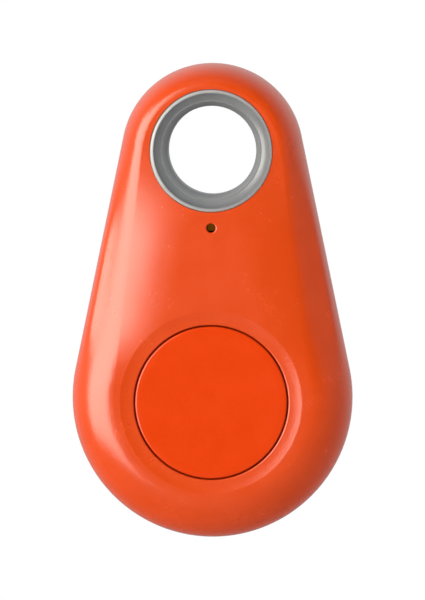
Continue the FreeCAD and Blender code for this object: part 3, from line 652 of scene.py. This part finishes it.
# a faint glow painted into the lens resin, so it isn't black behind its hole; the light is not lit
lens_shader.inputs["Emission Color"].default_value = (0.10, 0.034, 0.002, 1)
lens_shader.inputs["Emission Strength"].default_value = 1.0
smooth(new_piece(
    "light_lens_dome", brick(0, light_up, 1.4, 0.9, 0.8, 0.3, 0.18, 0.14, 4), [lens_amber],
    "casing", "light_resin", "light_lens"))


# The sounder: a black moulded case and lid, a sintered ring magnet, a wound coil on a steel core,
# and a thin steel diaphragm over them.
case_black, _ = finish(
    "black_moulding", (0.010, 0.010, 0.011), (0.028, 0.028, 0.030), (0.38, 0.55), 5200, 0.000006)
dress(case_black, "sounder_case", "sounder_lid_plate", "switch_base", "cell_holder")
magnet_grey, _ = finish(
    "sintered_magnet", (0.018, 0.018, 0.018), (0.07, 0.07, 0.068), (0.55, 0.8), 3800, 0.00001)
dress(magnet_grey, "sounder_magnet")
sheet_steel, _ = finish(
    "sheet_steel", (0.42, 0.42, 0.42), (0.60, 0.60, 0.59), (0.22, 0.42), 3000, 0.000003, 500, metal=1.0,
    stretch=(1, 1, 14))
dress(sheet_steel, "sounder_core", "sounder_diaphragm", "switch_plate_cover", "switch_dome")

sounder_up, coil_low, coil_high = -14.0, 1.4, 2.4
coil_inner, coil_outer, wire_turns, wire_sink = 1.0, 2.4, 9, 0.04
wire = (coil_high - coil_low) / wire_turns
wound = [(coil_inner, coil_low)]
for turn in range(wire_turns):
    level = coil_low + turn * wire
    wound += [
        (coil_outer - wire_sink, level), (coil_outer, level + wire / 3),
        (coil_outer, level + wire * 2 / 3),
    ]
wound += [(coil_outer - wire_sink, coil_high), (coil_inner, coil_high), (coil_inner, coil_low)]
enamel, _ = finish(
    "enamelled_wire", (0.42, 0.14, 0.04), (0.62, 0.27, 0.10), (0.2, 0.35), 5200, 0.000002, metal=1.0,
    stretch=(1, 20, 1))
smooth(new_piece(
    "sounder_coil_wound", spun(sounder_up, wound, 96), [enamel],
    "casing", "copper", "sounder_coil"))


# The push switch: black base, steel plate and snap dome, and a moulded plunger under the stem.
plunger_foot, plunger_top = 1.95, 2.7
collar_radius, collar_thick, plunger_radius = 1.4, 0.1, 0.9
plunger_profile = [
    (0, plunger_foot), (collar_radius, plunger_foot), (collar_radius, plunger_foot + collar_thick),
    (plunger_radius + 0.05, plunger_foot + collar_thick), (plunger_radius, plunger_foot + 0.15),
    (plunger_radius, plunger_top - 0.12), (plunger_radius - 0.03, plunger_top - 0.05),
    (plunger_radius - 0.1, plunger_top), (0, plunger_top),
]
smooth(new_piece(
    "switch_plunger_turned", spun(button_up, plunger_profile, 64), [case_black],
    "plunger", "black_plastic", "switch_plunger"))


# The board screws: zinc-plated steel, each with a pan head and a cross recess, driven from the
# back through the board into a post of the front shell.
zinc, _ = finish(
    "zinc_plate", (0.40, 0.41, 0.42), (0.58, 0.59, 0.60), (0.22, 0.42), 4200, 0.000003, 700, metal=1.0)
head_low, head_high, head_radius = -0.15, 0.3, 0.95
shank_radius, shank_root, shank_top = 0.5, 0.38, 3.68
thread_start, thread_rise, thread_pitch = 0.15, 0.15, 0.32
recess_long, recess_wide, recess_deep = 1.05, 0.26, 0.25


def carve(piece, cutter):
    """Cut a closed shape out of a piece."""
    mesh = bpy.data.meshes.new("cutter")
    cutter.to_mesh(mesh)
    cutter.free()
    tool = bpy.data.objects.new("cutter", mesh)
    bpy.context.scene.collection.objects.link(tool)
    cut = piece.modifiers.new("recess", "BOOLEAN")
    cut.operation = "DIFFERENCE"
    cut.object = tool
    bpy.context.view_layer.update()
    result_of_cut = piece.evaluated_get(bpy.context.evaluated_depsgraph_get())
    carved = bpy.data.meshes.new_from_object(result_of_cut)
    piece.modifiers.clear()
    piece.data = carved
    bpy.data.objects.remove(tool)


screws, recesses = [], []
for across, up in screw_places:
    screw_profile = [
        (0, head_low), (0.55, head_low), (0.8, head_low + 0.06), (0.92, head_low + 0.18),
        (head_radius, head_low + 0.3), (head_radius, head_high), (shank_radius, head_high),
    ]
    level = head_high + thread_start
    while level + 0.36 < shank_top:
        screw_profile += [
            (shank_root, level), (shank_radius, level + thread_rise),
            (shank_root, level + 2 * thread_rise),
        ]
        level += thread_pitch
    screw_profile += [(0.3, shank_top), (0, shank_top)]
    screws.append(moved(spun(0, screw_profile, 48), across, up))
    for wide, tall in ((recess_long, recess_wide), (recess_wide, recess_long)):
        slot_cut = brick(across, up, head_low - recess_deep, wide, tall, 2 * recess_deep, 0, 0)
        recesses.append(slot_cut)
board_screws = new_piece(
    "board_screws_turned", join(*screws), [zinc], "casing", "screw_steel", "board_screws")
for recess in recesses:
    carve(board_screws, recess)
smooth(board_screws)


# The coin cell: a nickel-plated can whose rim is folded over a nylon seal, and the cap inside it.
# A plain plus mark is stamped on the can's flat.
cell_nickel, _ = finish(
    "cell_nickel", (0.52, 0.51, 0.49), (0.68, 0.67, 0.65), (0.16, 0.34), 3600, 0.000002, 420, metal=1.0,
    stretch=(1, 1, 10), turn=(0, radians(30), 0))
dress(cell_nickel, "cell_can", "cell_cap")
seal_black, _ = finish("seal_nylon", (0.02, 0.02, 0.02), (0.05, 0.05, 0.05), (0.4, 0.6), 4800, 0.000004)
dress(seal_black, "cell_seal_ring")
mark_level, mark_rise, mark_sink = -3.4, 0.03, 0.02
mark_long, mark_wide, mark_up = 3.0, 0.5, button_up + 5.2
plus = join(*(
    brick(0, mark_up, mark_level - mark_rise, wide, tall, mark_rise + mark_sink, 0, 0)
    for wide, tall in ((mark_long, mark_wide), (mark_wide, mark_long))))
smooth(new_piece("cell_plus_mark", plus, [cell_nickel], "coin_cell", "cell_steel"))


# The contacts: nickel-plated spring strip, a two-armed leaf under the cap and an upright at the
# can's side. They show rolling lines along the strip.
strip_nickel, _ = finish(
    "contact_strip", (0.56, 0.50, 0.36), (0.74, 0.69, 0.56), (0.2, 0.38), 3600, 0.000002, 600, metal=1.0,
    stretch=(9, 1, 1))
dress(strip_nickel, "negative_contact", "positive_contact")


# The foam pad: closed-cell foam stuck inside the back shell, which keeps the cell from rattling.
foam_black, _ = finish(
    "black_foam", (0.008, 0.008, 0.009), (0.04, 0.04, 0.042), (0.75, 0.95), 3000, 0.00004)
foam_radius, foam_stuck, foam_face = 6.0, -3.6, -3.45
pad_profile = [
    (0, foam_stuck), (foam_radius, foam_stuck), (foam_radius, foam_face - 0.05),
    (foam_radius - 0.04, foam_face - 0.01), (foam_radius - 0.1, foam_face), (0, foam_face),
]
smooth(new_piece(
    "foam_pad_disc", spun(button_up, pad_profile, 96), [foam_black],
    "back_cover", "foam", "foam_pad"))
